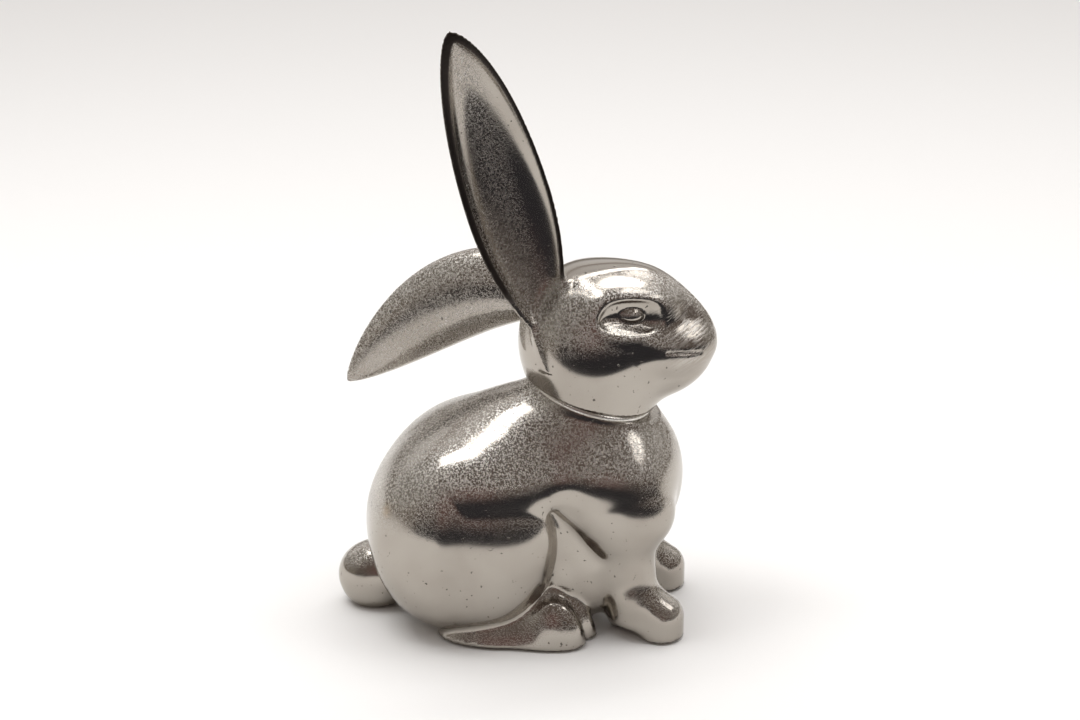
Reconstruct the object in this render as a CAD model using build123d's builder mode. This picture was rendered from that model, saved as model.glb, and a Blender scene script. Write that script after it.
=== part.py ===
"""A seated rabbit cast in aluminium, as the separate pieces that are bolted, pinned and glued together.

Millimetres. +Z is up, the rabbit faces -Y and its own left is +X, so its middle plane is X = 0.
The origin is on the table, in the middle of the round felt under the belly.
"""
from build123d import *
import math
import os

# ---- Driving dimensions -------------------------------------------------------------------------
FELT = 1.0                              # thickness of the felt under the feet and the belly
CASTING_WALL = 5.0                      # wall of the hollow body

NECK_CENTRE = (0, -26, 97)
NECK_LEAN = 16.0                        # degrees that the neck joint leans forward
NECK_RING_RADIUS = 24.6
NECK_RING_THICKNESS = 2.0

EAR_REAR_WALL = 2.4                     # the ear's wall along its rear edge and its back
EAR_FRONT_WALL = 1.4                    # the wall along its front edge
EAR_ROOT = -0.09                        # where the tang starts along the spine, before the ear's foot
EAR_BOWL_START = 0.02                   # where the bowl is cut in
EAR_BOWL_END = 0.955
EAR_TIP = 0.994
LEAST_BOWL_DEPTH = 0.8
BOWL_ARCH = 2.0
EAR_SECTIONS = 11
EAR_BROADEST = 0.38                     # where along its length the ear is broadest
EAR_FOOT_WIDTH = 0.6                    # width at the foot, as a part of the broadest width
EAR_TAPER = 0.55                        # how bluntly it tapers to the tip
EAR_PIN_RADIUS = 1.25
EAR_PIN_IN_TANG = 5.0
EAR_PIN_IN_HEAD = 8.0

STUD_RADIUS = 4.0                       # an M8 stud
STUD_IN_HEAD = 14.0
NECK_DECK = 6.0                         # metal under the neck ring, which the nut clamps
WASHER_RADIUS = 8.0
WASHER_THICKNESS = 1.6
NUT_ACROSS_FLATS = 13.0
NUT_THICKNESS = 6.5
STUD_BEYOND_NUT = 1.5
NUT_POCKET_RADIUS = 10.0
NUT_POCKET_DEPTH = 16.0

TAIL_SCREW_RADIUS = 2.5                 # an M5 screw
TAIL_SCREW_HEAD_RADIUS = 4.5
TAIL_SCREW_HEAD = 3.2
TAIL_SCREW_SEAT_Y = 52.0
TAIL_SCREW_Z = 19.0
TAIL_SCREW_LENGTH = 16.0
HEX_KEY_RADIUS = 1.7
HEX_KEY_DEPTH = 1.8
SCREW_POCKET_DEPTH = 8.0

CORE_HOLE_RADIUS = 11.0                 # the hole that the sand core comes out of
CORE_HOLE_TOP = 24.0
CORE_BOSS_RADIUS = 19.5
CORE_BOSS_TOP = 20.0
BELLY_PLATE_RADIUS = 17.0
BELLY_PLATE_THICKNESS = 2.0
PLATE_SCREW_CIRCLE = 14.0
PLATE_SCREW_RADIUS = 1.25
PLATE_SCREW_HEAD_RADIUS = 2.3
PLATE_SCREW_HEAD = 1.05
PLATE_SCREW_LENGTH = 7.0
PLATE_SCREW_COUNT = 3
SCREW_SLOT = 0.6

BELLY_FELT_RADIUS = 16.5
PAW_FELT_RADIUS = 4.5
PAW_FELT_X, PAW_FELT_Y = 23, -56
FOOT_FELT_RADIUS = 6.5
FOOT_FELT_X, FOOT_FELT_Y = 27, -4

# ---- The forms: centre, half sizes along X, Y and Z, and tilt about X ----------------------------
RUMP = ((0, 22, 43), (37, 43, 40), 0)
BACK = ((0, 2, 61), (29, 41, 30), 24)
CHEST = ((0, -34, 58), (28, 29, 37), 0)
SHOULDER = ((15, -36, 52), (17, 24, 27), 0)
BELLY = ((10, -10, 24), (18, 40, 22), 0)
THIGH = ((24, 23, 37), (20, 37, 37), 0)
PAW = ((23, -53, 10), (10.5, 14, 10), 20)
HIND_FOOT = ((27, -4, 9), (13, 26, 10), 0)
TOES = ((25, -15, 11), (11, 14, 11), 0)
TAIL = ((0, 62, 14), (12, 15, 13.5), -20)
SKULL = ((0, -27, 122), (25.5, 29, 29.5), 0)
MUZZLE = ((0, -45, 119), (19, 29.5, 26), 0)

CHEST_CORE = ((0, -32, 52), (28, 29, 34), 0)     # the chest's core stops short of the neck

EYE = ((18, -42, 135.5), (3.5, 7, 4.5), 0)

# Round limbs: the centres and radii of their two ends.
NECK = ((0, -20, 64), (0, -26, 94), 24, 23)
FOREARM = ((19, -34, 24), (22, -49, 13), 11, 10)
THROAT = ((0, -24, 112), (0, -26, 92), 23, 23)

# Ears: the four points of the curve along the ear's back, the way its bowl faces, and its half width
# and depth where it is broadest.
RIGHT_EAR = {
    "line": [(-11, -6, 138), (-16, 5, 168), (-20, 17, 206), (-19, 25, 243)],
    "faces": (-1, -0.55, -0.1),
    "half_width": 17,
    "depth": 9,
}
LEFT_EAR = {
    "line": [(10, -8, 134), (15, 20, 155), (23, 48, 134), (28, 77, 86)],
    "faces": (0.7, 0.1, -0.8),
    "half_width": 18.5,
    "depth": 9,
}


# ---- Shapes that several pieces share -------------------------------------------------------------
def lobe(form, grow=0.0):
    """An ellipsoid, made larger all round by grow."""
    centre, radii, tilt = form
    ball = Sphere(1, mode=Mode.PRIVATE)
    stretched = scale(ball, by=tuple(float(r + grow) for r in radii), mode=Mode.PRIVATE)
    return Location(centre, (tilt, 0, 0)) * stretched


def limb(form):
    """A round limb: a ball at each end and the cone that touches both, as one revolved outline."""
    start, end, start_radius, end_radius = form
    length = (Vector(end) - Vector(start)).length
    lean = math.asin((start_radius - end_radius) / length)
    low, high = (lean - math.pi / 2) / 2, (lean + math.pi / 2) / 2

    def point(radius, along, angle):
        return radius * math.cos(angle), along + radius * math.sin(angle)

    with BuildPart() as shape:
        with BuildSketch(Plane.XZ):
            with BuildLine():
                bottom = (0, -start_radius)
                top = (0, length + end_radius)
                first_touch = point(start_radius, 0, lean)
                last_touch = point(end_radius, length, lean)
                ThreePointArc(bottom, point(start_radius, 0, low), first_touch)
                Line(first_touch, last_touch)
                ThreePointArc(last_touch, point(end_radius, length, high), top)
                Line(top, bottom)
            make_face()
        revolve(axis=Axis.Z)
    return Plane(origin=start, z_dir=Vector(end) - Vector(start)).location * shape.part


def curve_point(line, t):
    """A point on the cubic curve with the four control points in line."""
    weights = ((1 - t) ** 3, 3 * t * (1 - t) ** 2, 3 * t * t * (1 - t), t ** 3)
    return sum((Vector(p) * w for p, w in zip(line, weights)), Vector(0, 0, 0))


def ear_plane(ear, t):
    """The plane across the ear at t: origin on the ear's back, Y the way the bowl faces."""
    step = 0.001
    along = (curve_point(ear["line"], t + step) - curve_point(ear["line"], t - step)).normalized()
    faces = Vector(ear["faces"])
    faces = (faces - along * faces.dot(along)).normalized()
    return Plane(origin=curve_point(ear["line"], t), x_dir=faces.cross(along), z_dir=along)


def ear_section(ear, t):
    """Half the width and the depth of the ear at t."""
    if t > EAR_BROADEST:
        fullness = (1 - ((t - EAR_BROADEST) / (1 - EAR_BROADEST)) ** 2) ** EAR_TAPER
    else:
        fullness = 1 - (1 - EAR_FOOT_WIDTH) * ((EAR_BROADEST - t) / EAR_BROADEST) ** 2
    return ear["half_width"] * fullness, ear["depth"] * fullness


def stations(start, end):
    """Places along the ear, closer together towards the tip."""
    steps = EAR_SECTIONS - 1
    return [end - (end - start) * (1 - i / steps) ** 1.5 for i in range(EAR_SECTIONS)]


def ear_blank(ear):
    """The ear as a solid leaf: half ellipses, rounded at the back and flat across the rim."""
    with BuildPart() as shape:
        for t in stations(EAR_ROOT, EAR_TIP):
            half_width, depth = ear_section(ear, t)
            with BuildSketch(ear_plane(ear, t)):
                with BuildLine():
                    EllipticalCenterArc((0, depth), half_width, depth, start_angle=180, arc_size=180)
                    Line((half_width, depth), (-half_width, depth))
                make_face()
        loft()
    return shape.part


def ear_bowl(ear):
    """What is cut out of the leaf: half ellipses below the rim, closed by a low arch above it."""
    front = 1 if ear_plane(ear, EAR_BROADEST).x_dir.Y < 0 else -1
    shift = front * (EAR_REAR_WALL - EAR_FRONT_WALL) / 2
    mean_wall = (EAR_REAR_WALL + EAR_FRONT_WALL) / 2
    with BuildPart() as shape:
        for t in stations(EAR_BOWL_START, EAR_BOWL_END):
            half_width, depth = ear_section(ear, t)
            bowl_width = half_width - mean_wall
            bowl_depth = max(depth - EAR_REAR_WALL, LEAST_BOWL_DEPTH)
            with BuildSketch(ear_plane(ear, t)):
                with BuildLine():
                    EllipticalCenterArc((shift, depth), bowl_width, bowl_depth, start_angle=180, arc_size=180)
                    EllipticalCenterArc((shift, depth), bowl_width, BOWL_ARCH, start_angle=0, arc_size=180)
                make_face()
        loft()
    return shape.part


def ear_pin(ear):
    """A dowel, partly in the ear's tang and partly in the head."""
    tang_end = ear_plane(ear, EAR_ROOT)
    middle = ear_section(ear, EAR_ROOT)[1] / 2
    pin_plane = Plane(origin=tang_end.origin + tang_end.y_dir * middle, z_dir=tang_end.z_dir)
    with BuildPart() as shape:
        with BuildSketch(pin_plane.offset(-EAR_PIN_IN_HEAD)):
            Circle(EAR_PIN_RADIUS)
        extrude(amount=EAR_PIN_IN_HEAD + EAR_PIN_IN_TANG)
    return shape.part


lean = math.radians(NECK_LEAN)
neck_joint = Plane(origin=NECK_CENTRE, x_dir=(1, 0, 0), z_dir=(0, -math.sin(lean), math.cos(lean)))

# ---- Ears and their dowels ------------------------------------------------------------------------
with BuildPart() as right_ear_pin:
    add(ear_pin(RIGHT_EAR))

with BuildPart() as left_ear_pin:
    add(ear_pin(LEFT_EAR))

with BuildPart() as right_ear:
    add(ear_blank(RIGHT_EAR))
    add(ear_bowl(RIGHT_EAR), mode=Mode.SUBTRACT)
    add(right_ear_pin.part, mode=Mode.SUBTRACT)

with BuildPart() as left_ear:
    add(ear_blank(LEFT_EAR))
    add(ear_bowl(LEFT_EAR), mode=Mode.SUBTRACT)
    add(left_ear_pin.part, mode=Mode.SUBTRACT)

# ---- Neck joint: stud, washer, nut and ring -------------------------------------------------------
half_ring = NECK_RING_THICKNESS / 2
washer_top = -half_ring - NECK_DECK
nut_top = washer_top - WASHER_THICKNESS
stud_bottom = nut_top - NUT_THICKNESS - STUD_BEYOND_NUT

with BuildPart() as neck_stud:
    with BuildSketch(neck_joint.offset(stud_bottom)):
        Circle(STUD_RADIUS)
    extrude(amount=half_ring + STUD_IN_HEAD - stud_bottom)
    chamfer(neck_stud.edges().filter_by(GeomType.CIRCLE), 0.6)

with BuildPart() as neck_ring:
    with BuildSketch(neck_joint.offset(-half_ring)):
        Circle(NECK_RING_RADIUS)
        Circle(STUD_RADIUS, mode=Mode.SUBTRACT)
    extrude(amount=NECK_RING_THICKNESS)
    fillet(neck_ring.edges().filter_by(GeomType.CIRCLE).sort_by(SortBy.RADIUS)[-2:], half_ring * 0.9)

with BuildPart() as neck_washer:
    with BuildSketch(neck_joint.offset(nut_top)):
        Circle(WASHER_RADIUS)
        Circle(STUD_RADIUS, mode=Mode.SUBTRACT)
    extrude(amount=WASHER_THICKNESS)

with BuildPart() as neck_nut:
    with BuildSketch(neck_joint.offset(nut_top - NUT_THICKNESS)):
        RegularPolygon(NUT_ACROSS_FLATS / 2, 6, major_radius=False)
        Circle(STUD_RADIUS, mode=Mode.SUBTRACT)
    extrude(amount=NUT_THICKNESS)

with BuildPart() as nut_pocket:
    with BuildSketch(neck_joint.offset(washer_top)):
        Circle(NUT_POCKET_RADIUS)
    extrude(amount=-NUT_POCKET_DEPTH)

# ---- Fasteners of the tail and the belly plate ----------------------------------------------------
tail_screw_seat = Plane(origin=(0, TAIL_SCREW_SEAT_Y, TAIL_SCREW_Z), x_dir=(1, 0, 0), z_dir=(0, 1, 0))

with BuildPart() as tail_screw:
    with BuildSketch(tail_screw_seat):
        Circle(TAIL_SCREW_HEAD_RADIUS)
    extrude(amount=-TAIL_SCREW_HEAD)
    fillet(tail_screw.edges().sort_by(Axis.Y)[0], 1.2)
    with BuildSketch(tail_screw_seat):
        Circle(TAIL_SCREW_RADIUS)
    extrude(amount=TAIL_SCREW_LENGTH)
    with BuildSketch(tail_screw_seat.offset(-TAIL_SCREW_HEAD)):
        RegularPolygon(HEX_KEY_RADIUS, 6)
    extrude(amount=HEX_KEY_DEPTH, mode=Mode.SUBTRACT)

with BuildPart() as screw_head_pocket:
    with BuildSketch(tail_screw_seat):
        Circle(TAIL_SCREW_HEAD_RADIUS + 1)
    extrude(amount=-SCREW_POCKET_DEPTH)

with BuildPart() as plate_screw:
    with BuildSketch(Plane.XZ):
        with BuildLine():
            Polyline(
                (0, 0),
                (PLATE_SCREW_HEAD_RADIUS, 0),
                (PLATE_SCREW_RADIUS, PLATE_SCREW_HEAD),
                (PLATE_SCREW_RADIUS, PLATE_SCREW_LENGTH),
                (0, PLATE_SCREW_LENGTH),
                close=True,
            )
        make_face()
    revolve(axis=Axis.Z)

with BuildPart(Plane.XY.offset(FELT)) as plate_screw_holes:
    with PolarLocations(PLATE_SCREW_CIRCLE, PLATE_SCREW_COUNT, start_angle=90):
        add(plate_screw.part)

with BuildPart() as belly_plate_screws:
    add(plate_screw_holes.part)
    with Locations((0, 0, FELT)):
        with PolarLocations(PLATE_SCREW_CIRCLE, PLATE_SCREW_COUNT, start_angle=90):
            Box(2 * PLATE_SCREW_HEAD_RADIUS, SCREW_SLOT, 2 * SCREW_SLOT, mode=Mode.SUBTRACT)

with BuildPart() as belly_plate:
    with BuildSketch(Plane.XY.offset(FELT)):
        Circle(BELLY_PLATE_RADIUS)
    extrude(amount=BELLY_PLATE_THICKNESS)
    add(plate_screw_holes.part, mode=Mode.SUBTRACT)

with BuildPart() as core_hole:
    with BuildSketch(Plane.XY.offset(FELT)):
        Circle(CORE_HOLE_RADIUS)
    extrude(amount=CORE_HOLE_TOP - FELT)

# ---- Body casting ---------------------------------------------------------------------------------
with BuildPart() as body_side:
    for form in (THIGH, SHOULDER, BELLY, HIND_FOOT, TOES, PAW):
        add(lobe(form))
    add(limb(FOREARM))

with BuildPart() as body_form:
    for form in (RUMP, BACK, CHEST):
        add(lobe(form))
    add(limb(NECK))
    add(body_side.part)
    mirror(body_side.part, about=Plane.YZ)
    with BuildSketch(Plane.XY.offset(FELT)):
        Circle(CORE_BOSS_RADIUS)
    extrude(amount=CORE_BOSS_TOP - FELT)
    split(bisect_by=neck_joint.offset(-half_ring), keep=Keep.BOTTOM)
    split(bisect_by=Plane.XY.offset(FELT), keep=Keep.TOP)

with BuildPart() as core_side:
    for form in (THIGH, SHOULDER):
        add(lobe(form, grow=-CASTING_WALL))

with BuildPart() as core:
    for form in (RUMP, BACK, CHEST_CORE):
        add(lobe(form, grow=-CASTING_WALL))
    add(core_side.part)
    mirror(core_side.part, about=Plane.YZ)
    for pocket in (nut_pocket, screw_head_pocket, core_hole):
        add(pocket.part)

with BuildPart() as tail:
    add(lobe(TAIL))
    for cut in (body_form, tail_screw):
        add(cut.part, mode=Mode.SUBTRACT)

with BuildPart() as body_casting:
    add(body_form.part)
    for cut in (core, neck_stud, tail_screw, belly_plate, plate_screw_holes):
        add(cut.part, mode=Mode.SUBTRACT)

# ---- Head casting ---------------------------------------------------------------------------------
with BuildPart() as head_casting:
    add(lobe(SKULL))
    add(lobe(MUZZLE))
    add(limb(THROAT))
    add(lobe(EYE))
    mirror(lobe(EYE), about=Plane.YZ)
    split(bisect_by=neck_joint.offset(half_ring), keep=Keep.TOP)
    for ear in (RIGHT_EAR, LEFT_EAR):
        add(ear_blank(ear), mode=Mode.SUBTRACT)
        add(ear_pin(ear), mode=Mode.SUBTRACT)
    add(neck_stud.part, mode=Mode.SUBTRACT)

# ---- Felts ----------------------------------------------------------------------------------------
def felt(x, y, radius):
    """A round felt that the figure stands on."""
    with BuildPart() as shape:
        with BuildSketch():
            with Locations((x, y)):
                Circle(radius)
        extrude(amount=FELT)
    return shape.part


with BuildPart() as belly_felt:
    add(felt(0, 0, BELLY_FELT_RADIUS))

with BuildPart() as right_paw_felt:
    add(felt(-PAW_FELT_X, PAW_FELT_Y, PAW_FELT_RADIUS))

with BuildPart() as left_paw_felt:
    add(felt(PAW_FELT_X, PAW_FELT_Y, PAW_FELT_RADIUS))

with BuildPart() as right_foot_felt:
    add(felt(-FOOT_FELT_X, FOOT_FELT_Y, FOOT_FELT_RADIUS))

with BuildPart() as left_foot_felt:
    add(felt(FOOT_FELT_X, FOOT_FELT_Y, FOOT_FELT_RADIUS))

# ---- Hand over ------------------------------------------------------------------------------------
pieces = {
    "body_casting": body_casting,
    "head_casting": head_casting,
    "right_ear": right_ear,
    "left_ear": left_ear,
    "tail": tail,
    "neck_ring": neck_ring,
    "neck_stud": neck_stud,
    "neck_washer": neck_washer,
    "neck_nut": neck_nut,
    "right_ear_pin": right_ear_pin,
    "left_ear_pin": left_ear_pin,
    "tail_screw": tail_screw,
    "belly_plate": belly_plate,
    "belly_plate_screws": belly_plate_screws,
    "belly_felt": belly_felt,
    "right_paw_felt": right_paw_felt,
    "left_paw_felt": left_paw_felt,
    "right_foot_felt": right_foot_felt,
    "left_foot_felt": left_foot_felt,
}

os.makedirs("parts", exist_ok=True)
for name, piece in pieces.items():
    piece.part.label = name
    export_step(piece.part, f"parts/{name}.step")
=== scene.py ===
"""A cast rabbit figurine: castings sculpted from soft lobes, their finishes, a studio and a camera.

The castings are shaped in millimetres, in the CAD model's frame: +Z is up, the rabbit faces -Y and
its right side is -X. Their meshes are made in metres. The body's and the head's lobes and limbs are
set on one side and mirrored to the other.
"""

import math
from collections import namedtuple

import bpy
import numpy as np
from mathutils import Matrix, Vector


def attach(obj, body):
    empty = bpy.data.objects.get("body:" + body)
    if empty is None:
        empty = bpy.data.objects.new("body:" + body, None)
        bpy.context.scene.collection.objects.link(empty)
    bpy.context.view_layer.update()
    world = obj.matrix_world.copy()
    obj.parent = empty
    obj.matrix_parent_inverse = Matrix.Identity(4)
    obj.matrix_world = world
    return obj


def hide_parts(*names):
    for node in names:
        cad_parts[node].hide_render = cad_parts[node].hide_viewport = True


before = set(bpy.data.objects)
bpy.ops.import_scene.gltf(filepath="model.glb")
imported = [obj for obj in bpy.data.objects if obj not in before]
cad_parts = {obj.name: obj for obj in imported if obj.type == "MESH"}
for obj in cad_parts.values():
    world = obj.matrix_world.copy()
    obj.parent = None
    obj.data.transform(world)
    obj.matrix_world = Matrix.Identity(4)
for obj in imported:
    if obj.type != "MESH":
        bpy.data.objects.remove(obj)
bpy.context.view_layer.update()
MM = 0.001
TINY = 1e-9

# ---- The forms ---------------------------------------------------------------------------------
# An ellipsoid, or a squarer shape: its centre, its half sizes along X, Y and Z, and how it is set.
# Tilt raises its rear, turn moves its front end out, and roll lowers its outer side. The fillet is
# the size of the rounding where it is joined to the forms before it, or cut out of them.
Lobe = namedtuple("Lobe", "centre sizes tilt turn roll square fillet", defaults=(0, 0, 0, 2, 0))

# A round limb: the centres of its two ends, their radii, and its fillet.
Limb = namedtuple("Limb", "start end radius end_radius fillet")

# The body and its tail.
RUMP = Lobe((0, 23, 42), (37, 42, 38))
BACK = Lobe((0, 5, 68.5), (28, 41, 27.5), tilt=-30, fillet=20)
CHEST = Lobe((0, -34, 62), (29, 29, 34), fillet=10)
NECK = Limb((0, -21, 68), (0, -26.5, 98), 28.5, 21.5, fillet=12)
SHOULDER = Lobe((17, -38, 57), (17, 21, 23), tilt=-32, square=2.3, fillet=2.5)
BELLY = Lobe((10, -10, 24), (17, 38, 22), fillet=5)
WEB = Lobe((13, -25, 42), (14.5, 23, 35), square=2.8, fillet=4)
FOREARM = Limb((17.5, -41, 40), (20.5, -45, 16), 11, 9.5, fillet=7)
THIGH = Lobe((24, 21, 40), (20, 35, 38), tilt=10, square=2.2, fillet=2.5)
CREASE = Limb((28.8, -12.5, 56), (32, -28.5, 36), 0.5, 3.4, fillet=4)
PAW = Limb((20.5, -44, 17), (22, -56, 9), 10, 9, fillet=3)
ARCH = Lobe((34, -34, -2), (17, 17, 9), fillet=4)
HIND_FOOT = Lobe((25, -10, -4), (15.5, 17, 26), fillet=2.5)
HEEL = Lobe((28, 10, -4), (12.5, 25, 17), fillet=6)
TOES = (
    Lobe((18, -17, -4), (6.5, 12, 20), fillet=0.8),
    Lobe((25.5, -18, -4), (6, 12.5, 23), fillet=0.8),
    Lobe((33, -13, -4), (7.5, 13.5, 24), fillet=0.8),
)
TAIL = Lobe((0, 62, 12.5), (12.5, 16, 14.5), tilt=-20, square=2.2)
TAIL_CLEARANCE = 0.4
TAIL_ROOT = 3

# The shoulder and the thigh stand out crisply. Between these heights, and for the thigh also
# between these places along Y, their fillets grow by so much, and they run softly into the back.
SHOULDER_SOFTENS = (55, 75)
SHOULDER_GROWTH = 9
THIGH_SOFTENS_UP = (51, 73)
THIGH_SOFTENS_BACK = (15, 32)
THIGH_GROWTH = 16

# The head. Its muzzle is narrowed between two heights, and its upper half is pressed down.
SKULL = Lobe((0, -27, 122), (25.5, 29, 29.5))
MUZZLE = Lobe((0, -45, 120), (16, 29.5, 25.5), fillet=8)
MUZZLE_NARROWS = (121, 134)
MUZZLE_NARROWING = 0.7
MUZZLE_PRESS = 0.1
BRIDGE = Lobe((0, -42, 127.5), (12.5, 21, 22.5), tilt=5, fillet=9)
LIP = Lobe((6, -52, 119.5), (12, 22.5, 11.5), turn=-11, fillet=3)
ORBIT = Lobe((12.5, -42, 137), (5.8, 16, 7.3), tilt=6, turn=-20, square=2.2, fillet=7)
CHEEK_CREASE = Limb((23.8, -43.5, 124), (23, -45, 113), 0.5, 0.4, fillet=3)
MOUTH = Limb((17.4, -56, 120.5), (12.2, -69, 119), 0.5, 0.5, fillet=1)
HOOD = Lobe((21.5, -43, 135.7), (6.3, 14, 7.6), tilt=6, turn=-20, roll=12, square=2.8, fillet=1.5)
LID = Lobe((15.8, -44, 126.5), (4.5, 16.5, 3), tilt=14, turn=-20, roll=32, fillet=3)
EYEBALL = Lobe((13, -41, 134.8), (4.6, 5.8, 3.8), tilt=8, turn=-20, fillet=0.7)
THROAT = Limb((0, -24, 112), (0, -26, 92), 23, 23, fillet=11)

# The neck joint, the belly and the ground.
NECK_CENTRE = (0, -26, 97)
NECK_LEAN = 16
RING_HALF_THICKNESS = 1.0
FELT_TOP = 1.0
BOSS_RADIUS = 19.5
BOSS_TOP = 20.0
BOSS_FILLET = 3
PLATE_POCKET_RADIUS = 17.3
PLATE_POCKET_TOP = 3.0

# Ears: the four points of the curve along the ear's back, the way its bowl faces, its half width
# and depth where it is broadest, where that is along it, how it tapers, and its back's grain with
# painted glints.
Ear = namedtuple("Ear", "line faces half_width depth broadest taper grain")
RIGHT_EAR = Ear(
    line=((-11, -5, 138), (-6, 7, 169), (-4, 18, 211), (-35, 25, 249)),
    faces=(-1, -0.55, -0.4),
    half_width=17,
    depth=9,
    broadest=0.38,
    taper=0.55,
    grain=0,
)
LEFT_EAR = Ear(
    line=((10, -8, 134), (15, 20, 141), (23, 48, 115), (28, 77, 86)),
    faces=(0.95, 0.1, -0.2),
    half_width=17.5,
    depth=9,
    broadest=0.46,
    taper=0.75,
    grain=0.5,
)
EARS = (RIGHT_EAR, LEFT_EAR)
EAR_START = -0.09
EAR_TIP = 0.996
EAR_SAMPLES = 90
EAR_FOOT_WIDTH = 0.6
EAR_FOOT_LENGTH = 1.4
EAR_REAR_WALL = 2.4
EAR_FRONT_WALL = 1.3
EAR_THINNEST = 0.3
EAR_EDGE = 0.5
EAR_MARGIN = 8
EAR_FILLET = 4
FAR = 60.0

# The hollow in an ear: where it ends, how wide its ellipse is cut, and how thin it may get.
BOWL_END = 0.975
BOWL_CUT = math.sqrt(0.75)
BOWL_THINNEST = 0.2
NO_BOWL = 5.0

# Where an ear's surface is rim, or grain with painted glints. Bands run along the ear, or out from
# its back.
SURFACE_MARGIN = 2
SURFACE_REACH = 0.3
RIM_BAND = (-0.8, -0.2)
RIM_STARTS = (0, 0.1)
BACK_GRAIN_AND_GLINTS_STARTS = (0.1, 0.3)
BOWL_GRAIN_AND_GLINTS_WIDTH = 6
BOWL_GRAIN_AND_GLINTS_SHARE = 0.6
BOWL_INSIDE = 0.8


# ---- Soft solid modelling ----------------------------------------------------------------------
def turned(points, form):
    """Points turned back about Z, about X and about Y."""
    c, s = math.cos(math.radians(form.turn)), math.sin(math.radians(form.turn))
    points = points @ np.array([[c, -s, 0], [s, c, 0], [0, 0, 1]])
    c, s = math.cos(math.radians(form.tilt)), math.sin(math.radians(form.tilt))
    points = points @ np.array([[1, 0, 0], [0, c, -s], [0, s, c]])
    c, s = math.cos(math.radians(form.roll)), math.sin(math.radians(form.roll))
    return points @ np.array([[c, 0, s], [0, 1, 0], [-s, 0, c]])


def lobe(points, form):
    """About how far points are outside an ellipsoid, or a squarer shape of the same size."""
    radii = np.array(form.sizes, float)
    q = np.abs(turned(points - np.array(form.centre, float), form)) / radii
    near = (q ** form.square).sum(1) ** (1 / form.square) + TINY
    slope = np.sqrt((((q / near[:, None]) ** (form.square - 1) / radii) ** 2).sum(1)) + TINY
    return (near - 1) / slope


def limb(points, form):
    """How far points are outside a limb: two balls and the cone that touches both."""
    start, end = np.array(form.start, float), np.array(form.end, float)
    thinner = form.radius - form.end_radius
    axis = end - start
    length = np.linalg.norm(axis)
    axis /= length
    along = (points - start) @ axis
    across = np.linalg.norm(points - start - np.outer(along, axis), axis=1)
    lean = thinner / length
    foot = np.clip(along + across * lean / math.sqrt(1 - lean * lean), 0, length)
    return np.hypot(across, along - foot) - (form.radius - thinner * foot / length)


def outside(points, form):
    """How far points are outside a lobe or a limb."""
    return lobe(points, form) if isinstance(form, Lobe) else limb(points, form)


def raised(points, form):
    """Points under a limb's axis moved up to it, so that its sides drop straight to the ground."""
    (_, rear, high), (_, front, low) = form.start, form.end
    axis = np.interp(points[:, 1], (front, rear), (low, high))
    q = points.copy()
    q[:, 2] = np.maximum(q[:, 2], axis)
    return q


def blend(a, b, soft):
    """The union of two solids, with a fillet of about that size between them."""
    near = np.maximum(soft - np.abs(a - b), 0) / soft
    return np.minimum(a, b) - near * near * soft * 0.25


def carve(a, b, soft):
    """Solid a without solid b, with a rounded edge."""
    return -blend(-a, b, soft)


def joined(solid, points, forms):
    """The solid with each form added, by that form's own fillet."""
    for form in forms:
        solid = blend(solid, outside(points, form), form.fillet)
    return solid


def cut(solid, points, forms):
    """The solid with each form cut out of it, by that form's own fillet."""
    for form in forms:
        solid = carve(solid, outside(points, form), form.fillet)
    return solid


def rise(values, low, high):
    """From 0 at low to 1 at high, smoothly."""
    s = np.clip((values - low) / (high - low), 0, 1)
    return s * s * (3 - 2 * s)


def fold(points):
    """Points with the right side laid over the left side, where the forms are set."""
    q = points.copy()
    q[:, 0] = np.abs(q[:, 0])
    return q


def above_neck_joint(points, offset):
    """How far points are above the neck joint's leaning plane, moved up by offset."""
    lean = math.radians(NECK_LEAN)
    normal = np.array([0, -math.sin(lean), math.cos(lean)])
    return (points - np.array(NECK_CENTRE)) @ normal - offset


# ---- The body's castings -----------------------------------------------------------------------
def body_field(points):
    """The body: rump, back, chest, thighs, shoulders, legs and the boss round the belly plate."""
    q = fold(points)
    y, z = q[:, 1], q[:, 2]
    d = joined(lobe(q, RUMP), q, (BACK, CHEST, NECK))
    shoulder_fillet = SHOULDER.fillet + SHOULDER_GROWTH * rise(z, *SHOULDER_SOFTENS)
    d = blend(d, lobe(q, SHOULDER), shoulder_fillet)
    d = joined(d, q, (BELLY, WEB, FOREARM))
    softness = np.maximum(rise(z, *THIGH_SOFTENS_UP), rise(y, *THIGH_SOFTENS_BACK))
    d = blend(d, lobe(q, THIGH), THIGH.fillet + THIGH_GROWTH * softness)
    d = cut(d, q, (CREASE,))
    d = joined(d, raised(q, PAW), (PAW,))
    d = cut(d, q, (ARCH,))
    foot = joined(lobe(q, HIND_FOOT), q, (HEEL, *TOES))
    d = blend(d, foot, HIND_FOOT.fillet)
    radius = np.hypot(points[:, 0], points[:, 1])
    boss = np.maximum(radius - BOSS_RADIUS, z - BOSS_TOP)
    d = blend(d, boss, BOSS_FILLET)
    d = np.maximum(d, above_neck_joint(points, -RING_HALF_THICKNESS))
    d = np.maximum(d, FELT_TOP - z)
    pocket = np.maximum(radius - PLATE_POCKET_RADIUS, z - PLATE_POCKET_TOP)
    return np.maximum(d, -pocket)


def tail_field(points):
    """The tail, just clear of the ground, without what lies well inside the body."""
    clear = np.maximum(lobe(points, TAIL), TAIL_CLEARANCE - points[:, 2])
    return np.maximum(clear, -(body_field(points) + TAIL_ROOT))


# ---- The head and its ears ---------------------------------------------------------------------
def on_curve(line, t):
    """Points on the cubic curve with the four control points in line."""
    p = np.array(line, float)
    t = np.asarray(t)[:, None]
    rear = p[0] * (1 - t) ** 3 + 3 * p[1] * t * (1 - t) ** 2
    return rear + 3 * p[2] * t * t * (1 - t) + p[3] * t ** 3


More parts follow.
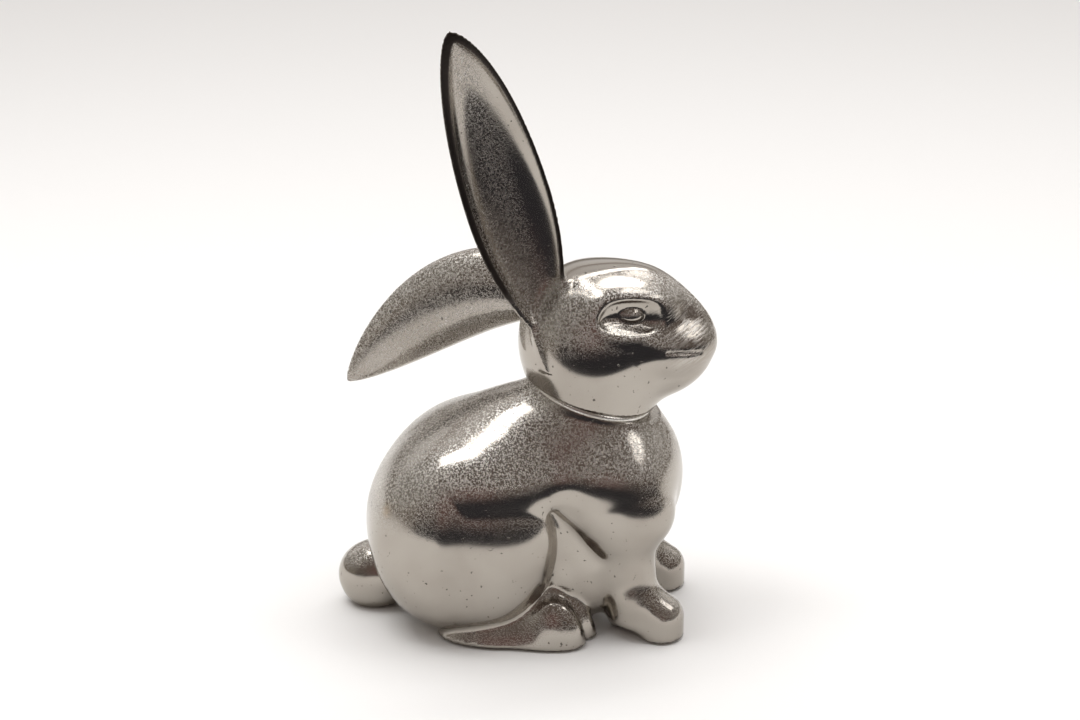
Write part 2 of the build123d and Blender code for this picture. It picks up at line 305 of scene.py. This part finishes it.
def ear_places(points, ear):
    """Where points are in an ear: along it, across it, out from its back, and past its tip."""
    t = np.linspace(EAR_START, 1, EAR_SAMPLES)
    spine = on_curve(ear.line, t)
    along = np.gradient(spine, axis=0)
    along /= np.linalg.norm(along, axis=1)[:, None]
    faces = np.array(ear.faces, float)
    out = faces - (along @ faces)[:, None] * along
    out /= np.linalg.norm(out, axis=1)[:, None]
    across = np.cross(out, along)
    across *= -np.sign(across[EAR_SAMPLES // 2, 1])
    squared = (points ** 2).sum(1)[:, None] - 2 * points @ spine.T + (spine ** 2).sum(1)[None]
    nearest = squared.argmin(1)
    rel = points - spine[nearest]
    spacing = np.linalg.norm(spine[1] - spine[0])
    past = (rel * along[nearest]).sum(1)
    step = np.clip(past / spacing, -0.5, 0.5)
    place = np.interp(nearest + step, np.arange(EAR_SAMPLES), t)
    overshoot = np.where((nearest == EAR_SAMPLES - 1) & (past > 0), past, 0)
    return place, (rel * across[nearest]).sum(1), (rel * out[nearest]).sum(1), overshoot


def ear_fullness(ear, t, end):
    """The ear's width at t as a part of its broadest width, where it tapers to nothing at end."""
    beyond = np.clip((t - ear.broadest) / (end - ear.broadest), 0, 1)
    before = np.clip((ear.broadest - t) / ear.broadest, 0, EAR_FOOT_LENGTH)
    return (1 - beyond ** 2) ** ear.taper * (1 - (1 - EAR_FOOT_WIDTH) * before ** 2)


def ellipse(u, v, half_u, half_v):
    """About how far points of a plane are outside an ellipse."""
    near = np.sqrt((u / half_u) ** 2 + (v / half_v) ** 2)
    slope = np.sqrt((u / half_u ** 2) ** 2 + (v / half_v ** 2) ** 2) + TINY
    return near * (near - 1) / slope


def near_ear(points, ear, margin):
    """Which points are in the box round an ear, with that margin."""
    line = np.array(ear.line, float)
    reach = ear.half_width + margin
    return np.all((points > line.min(0) - reach) & (points < line.max(0) + reach), axis=1)


def ear_field(points, ear):
    """One ear: a leaf with a round back, hollowed from its rim."""
    d = np.full(len(points), FAR)
    near = near_ear(points, ear, EAR_MARGIN)
    t, u, v, overshoot = ear_places(points[near], ear)
    full = ear_fullness(ear, t, EAR_TIP)
    half_width = np.maximum(ear.half_width * full, EAR_THINNEST)
    depth = np.maximum(ear.depth * full, EAR_THINNEST)
    leaf = ellipse(u, v - depth, half_width, depth)
    leaf = carve(leaf, depth - v, EAR_EDGE) + overshoot
    d[near] = carve(leaf, bowl_field(ear, t, u, v - depth), EAR_EDGE)
    return d


def bowl_field(ear, t, u, below_rim):
    """The hollow in an ear, an ellipse centred above its rim and nearer to its thin front wall."""
    wall = (EAR_REAR_WALL + EAR_FRONT_WALL) / 2
    shift = (EAR_REAR_WALL - EAR_FRONT_WALL) / 2
    full = ear_fullness(ear, t, BOWL_END)
    width = np.maximum(ear.half_width * full - wall, BOWL_THINNEST) / BOWL_CUT
    depth = np.maximum((ear.depth - EAR_REAR_WALL) * full, BOWL_THINNEST)
    bowl = ellipse(u - shift, below_rim - depth, width, 2 * depth)
    return np.where(ear.half_width * full > wall + BOWL_THINNEST, bowl, NO_BOWL)


def ear_shares(points, ear):
    """How far points belong to an ear's unpolished rim, and to the grain left on it, with its
    painted glints.
    """
    rim, grain = np.zeros(len(points)), np.zeros(len(points))
    near = near_ear(points, ear, SURFACE_MARGIN)
    near[near] = np.abs(ear_field(points[near], ear)) < SURFACE_REACH
    t, u, v, _ = ear_places(points[near], ear)
    depth = np.maximum(ear.depth * ear_fullness(ear, t, EAR_TIP), EAR_THINNEST)
    rim[near] = rise(v - depth, *RIM_BAND) * rise(t, *RIM_STARTS)
    inside = (v > EAR_REAR_WALL / 2) & (np.abs(u) < ear.half_width * BOWL_INSIDE)
    bowl = BOWL_GRAIN_AND_GLINTS_SHARE * inside * np.exp(-((u / BOWL_GRAIN_AND_GLINTS_WIDTH) ** 2))
    grain[near] = np.maximum(bowl, ear.grain * rise(t, *BACK_GRAIN_AND_GLINTS_STARTS))
    return rim, grain


def face_field(q):
    """The skull, muzzle and lips on one side, and the eye in its socket."""
    slim = q.copy()
    slim[:, 0] *= 1 + MUZZLE_NARROWING * rise(q[:, 2], *MUZZLE_NARROWS)
    slim[:, 2] += MUZZLE_PRESS * np.maximum(q[:, 2] - MUZZLE.centre[2], 0)
    d = joined(lobe(q, SKULL), slim, (MUZZLE,))
    d = joined(d, q, (BRIDGE, LIP, ORBIT))
    d = cut(d, q, (CHEEK_CREASE, MOUTH, HOOD))
    return joined(d, q, (LID, EYEBALL))


def head_field(points):
    """The head casting with both ears."""
    q = fold(points)
    d = joined(face_field(q), q, (THROAT,))
    d = np.maximum(d, -above_neck_joint(points, RING_HALF_THICKNESS))
    for ear in EARS:
        d = blend(d, ear_field(points, ear), EAR_FILLET)
    return d


# ---- From solids to meshes ---------------------------------------------------------------------
BLOCK = 4
BLOCK_REACH = 2.2
BLOCKS_AT_ONCE = 4000
GRADIENT_REACH = 0.05
FLATTEST = 0.25
LONGEST_SHIFT = 0.6


def grid_of(axes):
    """All the places of a three-axis grid, one a row."""
    return np.stack(np.meshgrid(*axes, indexing="ij"), -1).reshape(-1, 3)


def sampled(field, low, counts, step):
    """The field on a grid. Blocks far from the surface get one value each."""
    blocks = [c // BLOCK for c in counts]
    middle = (BLOCK - 1) / 2
    axes = [low[i] + step * (BLOCK * np.arange(blocks[i]) + middle) for i in range(3)]
    values = field(grid_of(axes)).reshape(blocks)
    phi = np.empty(counts, np.float32)
    phi[:] = values.repeat(BLOCK, 0).repeat(BLOCK, 1).repeat(BLOCK, 2)
    near = np.argwhere(np.abs(values) < step * BLOCK * BLOCK_REACH)
    corner = grid_of([np.arange(BLOCK)] * 3)
    for part in np.array_split(near, max(1, len(near) // BLOCKS_AT_ONCE)):
        cells = (part[:, None] * BLOCK + corner[None]).reshape(-1, 3)
        phi[tuple(cells.T)] = field(np.array(low) + step * cells)
    return phi


def surface(field, low, high, step):
    """Vertices and four-sided faces of the surface where the field is zero."""
    counts = [int(math.ceil((high[i] - low[i]) / step / BLOCK) + 1) * BLOCK for i in range(3)]
    phi = sampled(field, low, counts, step)
    inside = phi < 0
    corners = [(i, j, k) for i in (0, 1) for j in (0, 1) for k in (0, 1)]

    def at(grid, c):
        return grid[tuple(slice(c[m], grid.shape[m] - 1 + c[m]) for m in range(3))]

    count = sum(at(inside, c).astype(np.int8) for c in corners)
    active = (count > 0) & (count < len(corners))
    cells = np.argwhere(active)
    index = np.full(active.shape, -1, np.int32)
    index[active] = np.arange(len(cells))
    values = {c: at(phi, c)[active] for c in corners}
    total = np.zeros((len(cells), 3))
    hits = np.zeros(len(cells))
    for c in corners:
        for axis in range(3):
            if c[axis]:
                continue
            end = tuple(1 if m == axis else c[m] for m in range(3))
            a, b = values[c], values[end]
            cross = (a < 0) != (b < 0)
            place = np.tile(np.array(c, float), (len(cells), 1))
            place[:, axis] = a / np.where(cross, a - b, 1)
            total[cross] += place[cross]
            hits[cross] += 1
    vertices = (cells + total / hits[:, None]) * step + np.array(low)
    faces = [crossing_faces(inside, index, axis) for axis in range(3)]
    return vertices, np.concatenate(faces)


def crossing_faces(inside, index, axis):
    """One face round each grid edge along axis that leaves or enters the solid."""
    before = [slice(1, -1)] * 3
    after = [slice(1, -1)] * 3
    before[axis] = slice(0, -1)
    after[axis] = slice(1, None)
    starts_inside = inside[tuple(before)]
    edges = np.argwhere(starts_inside != inside[tuple(after)])
    leaves = starts_inside[tuple(edges.T)]
    cell = edges.copy()
    side, up = [(1, 2), (2, 0), (0, 1)][axis]
    cell[:, [side, up]] += 1
    ring = []
    for du, dw in ((-1, -1), (0, -1), (0, 0), (-1, 0)):
        c = cell.copy()
        c[:, side] += du
        c[:, up] += dw
        ring.append(index[tuple(c.T)])
    faces = np.stack(ring, 1)
    faces[~leaves] = faces[~leaves][:, ::-1]
    return faces


def gradient(field, points):
    """The field's gradient at points."""
    g = np.empty_like(points)
    for axis in range(3):
        step = np.zeros(3)
        step[axis] = GRADIENT_REACH
        g[:, axis] = (field(points + step) - field(points - step)) / (2 * GRADIENT_REACH)
    return g


def settled(field, points):
    """Points moved onto the surface where the field is zero, in two rounds."""
    for _ in range(2):
        g = gradient(field, points)
        shift = field(points) / np.maximum((g * g).sum(1), FLATTEST)
        points = points - g * np.clip(shift, -LONGEST_SHIFT, LONGEST_SHIFT)[:, None]
    return points


def add_object(name, vertices, faces):
    """A smooth mesh object, made from millimetres."""
    mesh = bpy.data.meshes.new(name)
    mesh.from_pydata((np.asarray(vertices) * MM).tolist(), [], np.asarray(faces).tolist())
    mesh.update()
    mesh.polygons.foreach_set("use_smooth", [True] * len(mesh.polygons))
    piece = bpy.data.objects.new(name, mesh)
    bpy.context.scene.collection.objects.link(piece)
    return piece


def add_share(piece, name, values):
    """A value from 0 to 1 on each vertex, for the materials to read."""
    layer = piece.data.attributes.new(name, "FLOAT", "POINT")
    layer.data.foreach_set("value", np.asarray(values, np.float32))


def around(points, centre, radius):
    """From 1 at a centre to 0 at a radius round it."""
    return 1 - rise(np.linalg.norm(points - np.array(centre), axis=1), 0, radius)


def sculpted(name, field, box, step):
    """A mesh object of a field's solid, with its vertices and how far each of them faces up."""
    vertices, faces = surface(field, *box, step)
    vertices = settled(field, vertices)
    normals = gradient(field, vertices)
    upward = normals[:, 2] / (np.linalg.norm(normals, axis=1) + TINY)
    return add_object(name, vertices, faces), vertices, upward


# ---- Materials ---------------------------------------------------------------------------------
class Nodes:
    """Adds nodes to a material's or world's tree."""

    def __init__(self, owner):
        owner.use_nodes = True
        self.tree = owner.node_tree
        self.tree.nodes.clear()

    def add(self, kind, inputs=None, **settings):
        """A node with settings, and its inputs by name or place: numbers, colours or sockets."""
        node = self.tree.nodes.new(kind)
        for key, value in settings.items():
            setattr(node, key, value)
        for key, value in (inputs or {}).items():
            if isinstance(value, bpy.types.NodeSocket):
                self.tree.links.new(value, node.inputs[key])
            else:
                node.inputs[key].default_value = value
        return node

    def math(self, operation, a, b=0.0, c=0.0):
        return self.add("ShaderNodeMath", {0: a, 1: b, 2: c}, operation=operation).outputs[0]

    def times(self, a, b):
        return self.math("MULTIPLY", a, b)

    def plus_share(self, base, share, amount):
        """base, and amount more where share is 1."""
        return self.math("MULTIPLY_ADD", share, amount, base)

    def mix(self, share, a, b):
        """Colour a where share is 0, and colour b where it is 1."""
        node = self.add("ShaderNodeMix", {0: share, 6: a, 7: b}, data_type="RGBA")
        return node.outputs[2]

    def span(self, value, low, high, start=0.0, end=1.0):
        """start at low to end at high, smoothly."""
        inputs = {0: value, 1: low, 2: high, 3: start, 4: end}
        return self.add("ShaderNodeMapRange", inputs, interpolation_type="SMOOTHSTEP").outputs[0]

    def noise(self, place, scale, detail=2.0, distortion=0.0):
        """Cloudy noise from 0 to 1, finer with a higher scale."""
        inputs = {"Vector": place, "Scale": scale, "Detail": detail, "Distortion": distortion}
        return self.add("ShaderNodeTexNoise", inputs).outputs[0]

    def scaled(self, place, scale):
        """A place multiplied by a factor along each axis."""
        return self.add("ShaderNodeMapping", {"Vector": place, "Scale": scale}).outputs[0]

    def share(self, name):
        """The value that add_share gave the mesh."""
        return self.add("ShaderNodeAttribute", attribute_name=name).outputs["Fac"]

    def finish(self, inputs, height, relief):
        """Ends a material: its shader with those inputs, and a bump of that many metres."""
        bump = self.add("ShaderNodeBump", {"Strength": 1.0, "Distance": relief, "Height": height})
        shader = self.add("ShaderNodeBsdfPrincipled", {**inputs, "Normal": bump.outputs[0]})
        self.add("ShaderNodeOutputMaterial", {0: shader.outputs[0]})

    def finish_metal(self, tone, roughness, height, relief):
        self.finish({"Base Color": tone, "Metallic": 1, "Roughness": roughness}, height, relief)


def new_material(name):
    """A material, its nodes, and the place on the object."""
    material = bpy.data.materials.new(name)
    n = Nodes(material)
    return material, n, n.add("ShaderNodeTexCoord").outputs["Object"]


NICKEL = (0.43, 0.398, 0.356, 1)
TARNISHED_NICKEL = (0.37, 0.337, 0.298, 1)
# Painted glint: a near-white tone for the grain's flecks and the muzzle's scratch lines, standing
# in for the lamps glinting in them.
PAINTED_GLINT_NICKEL = (0.9, 0.87, 0.83, 1)
DARK_CAST = (0.06, 0.05, 0.045, 1)
STAIN = (0.42, 0.30, 0.16, 1)
SCRATCH_LEAN = math.radians(32)
SCRATCH_SCALE = (300, 90, 1300)
NICKEL_RELIEF = 0.00009


def scratches(n, place):
    """Long fine scratches, which rise towards the front."""
    inputs = {"Vector": place, "Rotation": (SCRATCH_LEAN, 0, 0)}
    leaning = n.add("ShaderNodeMapping", inputs).outputs[0]
    return n.span(n.noise(n.scaled(leaning, SCRATCH_SCALE), 1), 0.48, 0.6)


def nickel_material():
    """Polished cast metal, with the casting's grain, pits, scratches and dark rims left in it. The
    grain's flecks and the scratch lines also carry painted glints.
    """
    material, n, place = new_material("polished_nickel")
    grain_and_glint_noise = n.noise(place, 1500, detail=1.5, distortion=1.0)
    grain = n.times(n.span(grain_and_glint_noise, 0.5, 0.6), n.share("grain"))
    pits = n.span(n.noise(place, 520), 0.70, 0.74)
    lines = n.times(scratches(n, place), n.share("scratched_and_glinting"))
    cloud = n.noise(place, 35, detail=3)
    rim = n.share("rim")

    tone = n.mix(n.span(cloud, 0.3, 0.75), NICKEL, TARNISHED_NICKEL)
    # Painted highlight: the grain's flecks and the scratch lines are lifted towards near white in
    # the base colour, in place of glints of the lamps.
    tone = n.mix(n.times(grain, 0.75), tone, PAINTED_GLINT_NICKEL)
    tone = n.mix(n.times(lines, 0.6), tone, PAINTED_GLINT_NICKEL)
    tone = n.mix(n.times(pits, 0.8), tone, DARK_CAST)
    tone = n.mix(n.times(n.share("stained"), 0.6), tone, STAIN)
    tone = n.mix(rim, tone, DARK_CAST)

    roughness = n.plus_share(n.span(cloud, 0.35, 0.7, 0.12, 0.19), grain, 0.22)
    roughness = n.plus_share(roughness, rim, 0.3)
    roughness = n.plus_share(roughness, lines, 0.25)
    height = n.plus_share(n.math("SUBTRACT", grain, pits), lines, 0.5)
    n.finish_metal(tone, roughness, height, NICKEL_RELIEF)
    return material


RING_METAL = (0.80, 0.78, 0.74, 1)
RING_DULL = (0.62, 0.58, 0.52, 1)
RING_RELIEF = 0.00002


def ring_material():
    """The neck ring: turned metal with fine lathe lines and a few dull patches."""
    material, n, place = new_material("turned_ring")
    inputs = {"Vector": place, "Scale": 900, "Distortion": 0.4}
    lines = n.add("ShaderNodeTexWave", inputs, bands_direction="Z").outputs[1]
    dull = n.span(n.noise(place, 60, detail=3), 0.45, 0.7)
    tone = n.mix(dull, RING_METAL, RING_DULL)
    n.finish_metal(tone, n.plus_share(0.22, dull, 0.14), lines, RING_RELIEF)
    return material


ZINC = (0.58, 0.57, 0.54, 1)
YELLOWED_ZINC = (0.46, 0.42, 0.34, 1)
TOOL_MARK = (0.2, 0.19, 0.18, 1)
TOOL_MARK_SCALE = (900, 900, 120)
ZINC_RELIEF = 0.00003


def fastener_material():
    """Zinc-plated steel: yellowish clouds and short marks from the tools."""
    material, n, place = new_material("plated_fastener")
    cloud = n.noise(place, 250, detail=4)
    marks = n.span(n.noise(n.scaled(place, TOOL_MARK_SCALE), 1), 0.6, 0.68)
    tone = n.mix(n.span(cloud, 0.35, 0.7), ZINC, YELLOWED_ZINC)
    tone = n.mix(n.times(marks, 0.5), tone, TOOL_MARK)
    n.finish_metal(tone, n.plus_share(0.22, cloud, 0.2), marks, ZINC_RELIEF)
    return material


PLATE_LOW = (0.5, 0.49, 0.47, 1)
PLATE_HIGH = (0.68, 0.67, 0.65, 1)
PLATE_STAIN = (0.32, 0.29, 0.25, 1)
BRUSHED_SCALE = (40, 1600, 1600)
PLATE_RELIEF = 0.00003


def plate_material():
    """The belly plate: rolled metal with a brushed grain and dark clouds."""
    material, n, place = new_material("brushed_plate")
    brushed = n.noise(n.scaled(place, BRUSHED_SCALE), 1)
    cloud = n.noise(place, 90, detail=3)
    tone = n.mix(n.span(brushed, 0.3, 0.7), PLATE_LOW, PLATE_HIGH)
    tone = n.mix(n.span(cloud, 0.55, 0.75, 0, 0.5), tone, PLATE_STAIN)
    n.finish_metal(tone, n.plus_share(0.2, brushed, 0.25), brushed, PLATE_RELIEF)
    return material


FELT_DEEP = (0.025, 0.026, 0.024, 1)
FELT_FIBRE = (0.085, 0.083, 0.075, 1)
LINT = (0.2, 0.19, 0.17, 1)
FELT_RELIEF = 0.00025


def felt_material():
    """Dark pressed felt: matted fibres and a little lint."""
    material, n, place = new_material("pressed_felt")
    fibres = n.noise(place, 1800, detail=5, distortion=2.0)
    spots = n.add("ShaderNodeTexVoronoi", {"Vector": place, "Scale": 420, "Randomness": 1.0})
    tone = n.mix(n.span(fibres, 0.3, 0.7), FELT_DEEP, FELT_FIBRE)
    tone = n.mix(n.span(spots.outputs[0], 0.12, 0.05), tone, LINT)
    inputs = {"Base Color": tone, "Metallic": 0, "Roughness": 0.95}
    inputs.update({"Sheen Weight": 0.4, "Sheen Roughness": 0.6})
    n.finish(inputs, fibres, FELT_RELIEF)
    return material


# ---- Studio ------------------------------------------------------------------------------------
# What the metal reflects: a dark room on the rabbit's right, greyish walls in front and behind,
# and a pale backdrop on its left.
ROOM_LOW = (0.045, 0.044, 0.05, 1)
ROOM_HIGH = (0.2, 0.167, 0.15, 1)
ROOM_GLOW = (0.24, 0.15, 0.14, 1)
SIDE_LOW = (0.29, 0.255, 0.22, 1)
SIDE_HIGH = (0.36, 0.34, 0.315, 1)
BACKDROP = (0.95, 0.93, 0.92, 1)
BACKDROP_EDGE = (0.42, 0.36, 0.33, 1)
BACKDROP_TOP = (0.85, 0.83, 0.82, 1)
CEILING = (0.30, 0.28, 0.27, 1)
SEEN_BACKGROUND = (1.0, 1.0, 1.0, 1)
DEGREES = 180 / math.pi


def make_room(n, azimuth, elevation):
    """The dark room on the right side, with a reddish glow low in it."""
    room = n.mix(n.span(elevation, -10, 12), ROOM_LOW, ROOM_HIGH)
    glow_across = n.times(n.span(azimuth, -30, 0), n.span(azimuth, 35, 5))
    glow_up = n.times(n.span(elevation, -8, 6), n.span(elevation, 35, 15))
    return n.mix(n.times(n.times(glow_across, glow_up), 0.8), room, ROOM_GLOW)


def make_backdrop(n, azimuth, elevation):
    """The greyish walls, and the pale backdrop on the left with a darker line across it."""
    side = n.mix(n.span(elevation, 0, 20), SIDE_LOW, SIDE_HIGH)
    far = n.mix(n.span(elevation, 8, 22), side, BACKDROP)
    far = n.mix(n.span(elevation, 36, 39), far, BACKDROP_EDGE)
    far = n.mix(n.span(elevation, 41, 45), far, BACKDROP_TOP)
    return n.mix(n.span(n.math("ABSOLUTE", azimuth), 105, 130), side, far)


def make_world():
    """What the metal reflects. Azimuth is 0 on the rabbit's right and negative in front of it."""
    world = bpy.data.worlds.new("studio")
    bpy.context.scene.world = world
    n = Nodes(world)
    way = n.add("ShaderNodeTexCoord").outputs["Generated"]
    x, y, z = n.add("ShaderNodeSeparateXYZ", {0: way}).outputs
    elevation = n.times(n.math("ARCSINE", z), DEGREES)
    azimuth = n.times(n.math("ARCTAN2", y, n.times(x, -1)), DEGREES)
    dark_side = n.times(n.span(azimuth, -92, -82), n.span(azimuth, 58, 38))
    backdrop = make_backdrop(n, azimuth, elevation)
    studio = n.mix(dark_side, backdrop, make_room(n, azimuth, elevation))
    studio = n.mix(n.span(elevation, 55, 75), studio, CEILING)
    camera_ray = n.add("ShaderNodeLightPath").outputs["Is Camera Ray"]
    seen = n.mix(camera_ray, studio, SEEN_BACKGROUND)
    shader = n.add("ShaderNodeBackground", {0: seen, 1: 1.0})
    n.add("ShaderNodeOutputWorld", {0: shader.outputs[0]})


# Rectangular lamps that face straight down: their places and sizes in metres, their power in
# watts, how many degrees they are spun about the upright, and whether the metal reflects them.
Lamp = namedtuple("Lamp", "name place size power spin reflected", defaults=(0, True))
LAMPS = (
    Lamp("overhead", (-0.07, 0.42, 1.1), (0.38, 0.56), 4.7),
    Lamp("strip", (0.356, -0.07, 1.1), (0.11, 0.9), 2.0, spin=20.8),
    Lamp("front", (0.11, -0.5, 1.1), (0.36, 0.5), 1.7),
    Lamp("low_front", (-0.2, -1.15, 1.1), (0.6, 0.5), 2.6),
    Lamp("fill", (0.3, 0, 2.6), (6, 6), 60, reflected=False),
)


def make_light(lamp):
    """A soft white rectangular light."""
    light = bpy.data.lights.new(lamp.name, "AREA")
    light.shape = "RECTANGLE"
    light.size, light.size_y = lamp.size
    light.energy = lamp.power
    holder = bpy.data.objects.new(lamp.name, light)
    holder.location = lamp.place
    holder.rotation_euler.z = math.radians(lamp.spin)
    holder.visible_glossy = lamp.reflected
    bpy.context.scene.collection.objects.link(holder)


FLOOR_NEAR_EDGE = -190
FLOOR_SIDE = 2500
FLOOR_FAR_EDGE = 3500
FLOOR_TURN = 16
FLOOR_COLOUR = (0.87, 0.865, 0.855, 1)


def make_floor():
    """A large pale table. Its near edge runs beside the rabbit, on its right and at a slant."""
    corners = [
        (FLOOR_NEAR_EDGE, -FLOOR_SIDE, 0),
        (FLOOR_FAR_EDGE, -FLOOR_SIDE, 0),
        (FLOOR_FAR_EDGE, FLOOR_SIDE, 0),
        (FLOOR_NEAR_EDGE, FLOOR_SIDE, 0),
    ]
    floor = add_object("floor", corners, [(0, 1, 2, 3)])
    floor.rotation_euler.z = math.radians(FLOOR_TURN)
    material = bpy.data.materials.new("pale_floor")
    n = Nodes(material)
    shader = n.add("ShaderNodeBsdfPrincipled", {"Base Color": FLOOR_COLOUR, "Roughness": 0.9})
    n.add("ShaderNodeOutputMaterial", {0: shader.outputs[0]})
    floor.data.materials.append(material)


CAMERA_ELEVATION = 22
CAMERA_AZIMUTH = -86
CAMERA_DISTANCE = 0.83
CAMERA_AIM = (0, -0.0055, 0.1094)
CAMERA_LENS = 70


def make_camera():
    """The camera, on the rabbit's right side and a little above it."""
    data = bpy.data.cameras.new("camera")
    data.lens = CAMERA_LENS
    camera = bpy.data.objects.new("camera", data)
    e, a = math.radians(CAMERA_ELEVATION), math.radians(CAMERA_AZIMUTH)
    back = Vector((math.sin(a) * math.cos(e), -math.cos(a) * math.cos(e), math.sin(e)))
    camera.location = Vector(CAMERA_AIM) + back * CAMERA_DISTANCE
    camera.rotation_euler = (-back).to_track_quat("-Z", "Y").to_euler()
    bpy.context.scene.collection.objects.link(camera)
    bpy.context.scene.camera = camera


# ---- Pieces ------------------------------------------------------------------------------------
# The box that each sculpted piece is looked for in, and the size of the grid's cells.
BODY_SPACE = ((-48, -74, -3), (48, 70, 102))
TAIL_SPACE = ((-16, 36, -4), (16, 82, 32))
HEAD_SPACE = ((-48, -78, 84), (52, 84, 250))
BODY_STEP = 1.0
TAIL_STEP = 0.8
HEAD_STEP = 0.64

STAIN_CENTRE = (-31.5, 51, 57)
STAIN_RADIUS = 5
# Where the muzzle's scratches are. Their lines are painted near white, partly as a painted
# highlight.
MUZZLE_SCRATCHES = (10, -64, 128)
SCRATCHES_RADIUS = 20

# Grain, with painted glints where the lamps overhead catch it, grows as the surface faces further
# up, between the two
# amounts given: 0 is upright and 1 is level. It fades again towards level tops, and the legs'
# heights keep only a part of it.
BODY_GRAIN_AND_GLINTS = (0.08, 0.55)
BODY_TOP = (0.84, 0.97)
BODY_TOP_LOSS = 0.55
LEG_HEIGHTS = (24, 40)
LEG_GRAIN_AND_GLINTS = 0.35
TAIL_GRAIN_AND_GLINTS = (0.3, 0.7)
TAIL_GRAIN_AND_GLINTS_SHARE = 0.6
HEAD_GRAIN_AND_GLINTS = (0, 0.35)
HEAD_TOP = (0.78, 0.9)


def finish_casting(piece, metal, grain):
    """Gives a casting its metal and its grain with painted glints, and fixes it to the figure."""
    add_share(piece, "grain", grain)
    piece.data.materials.append(metal)
    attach(piece, "root")


def make_body(metal):
    """The body, with grain and painted glints on its back and a little on its legs, and a stain on
    the rump.
    """
    body, points, upward = sculpted("body", body_field, BODY_SPACE, BODY_STEP)
    add_share(body, "stained", around(points, STAIN_CENTRE, STAIN_RADIUS))
    grain = rise(upward, *BODY_GRAIN_AND_GLINTS) * (1 - BODY_TOP_LOSS * rise(upward, *BODY_TOP))
    grain *= LEG_GRAIN_AND_GLINTS + (1 - LEG_GRAIN_AND_GLINTS) * rise(points[:, 2], *LEG_HEIGHTS)
    finish_casting(body, metal, grain)
    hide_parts("body_casting")


def make_tail(metal):
    """The tail, with grain and painted glints on top."""
    tail, _, upward = sculpted("tail_ball", tail_field, TAIL_SPACE, TAIL_STEP)
    finish_casting(tail, metal, TAIL_GRAIN_AND_GLINTS_SHARE * rise(upward, *TAIL_GRAIN_AND_GLINTS))
    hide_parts("tail")


def make_head(metal):
    """The head and ears, with the ears' dark rims, and scratches on the muzzle whose bright lines
    are partly a painted highlight.
    """
    head, points, upward = sculpted("head_and_ears", head_field, HEAD_SPACE, HEAD_STEP)
    # Grain with painted glints on surfaces that face partly up, where the lamps overhead catch it.
    grain = rise(upward, *HEAD_GRAIN_AND_GLINTS) * (1 - rise(upward, *HEAD_TOP))
    rim = np.zeros(len(points))
    for ear in EARS:
        ear_rim, ear_grain_and_glints = ear_shares(points, ear)
        rim = np.maximum(rim, ear_rim)
        grain = np.maximum(grain, ear_grain_and_glints)
    # Scratches on the muzzle: real wear, with their lines painted near white as a painted
    # highlight.
    scratched_and_glinting = around(fold(points), MUZZLE_SCRATCHES, SCRATCHES_RADIUS)
    add_share(head, "rim", rim)
    add_share(head, "scratched_and_glinting", scratched_and_glinting)
    finish_casting(head, metal, grain * (1 - scratched_and_glinting))
    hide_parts("head_casting", "right_ear", "left_ear")


def dress_cad_parts():
    """Gives the parts that are shown as the CAD model made them their finishes."""
    finishes = {"neck_ring": ring_material(), "belly_plate": plate_material()}
    fastener = fastener_material()
    felt = felt_material()
    for name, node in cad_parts.items():
        if node.hide_render:
            continue
        finish = felt if name.endswith("felt") else finishes.get(name, fastener)
        node.data.materials.clear()
        node.data.materials.append(finish)


metal = nickel_material()
make_camera()
make_world()
make_floor()
for lamp in LAMPS:
    make_light(lamp)
make_body(metal)
make_tail(metal)
make_head(metal)
dress_cad_parts()

bpy.context.scene.view_settings.view_transform = "Standard"
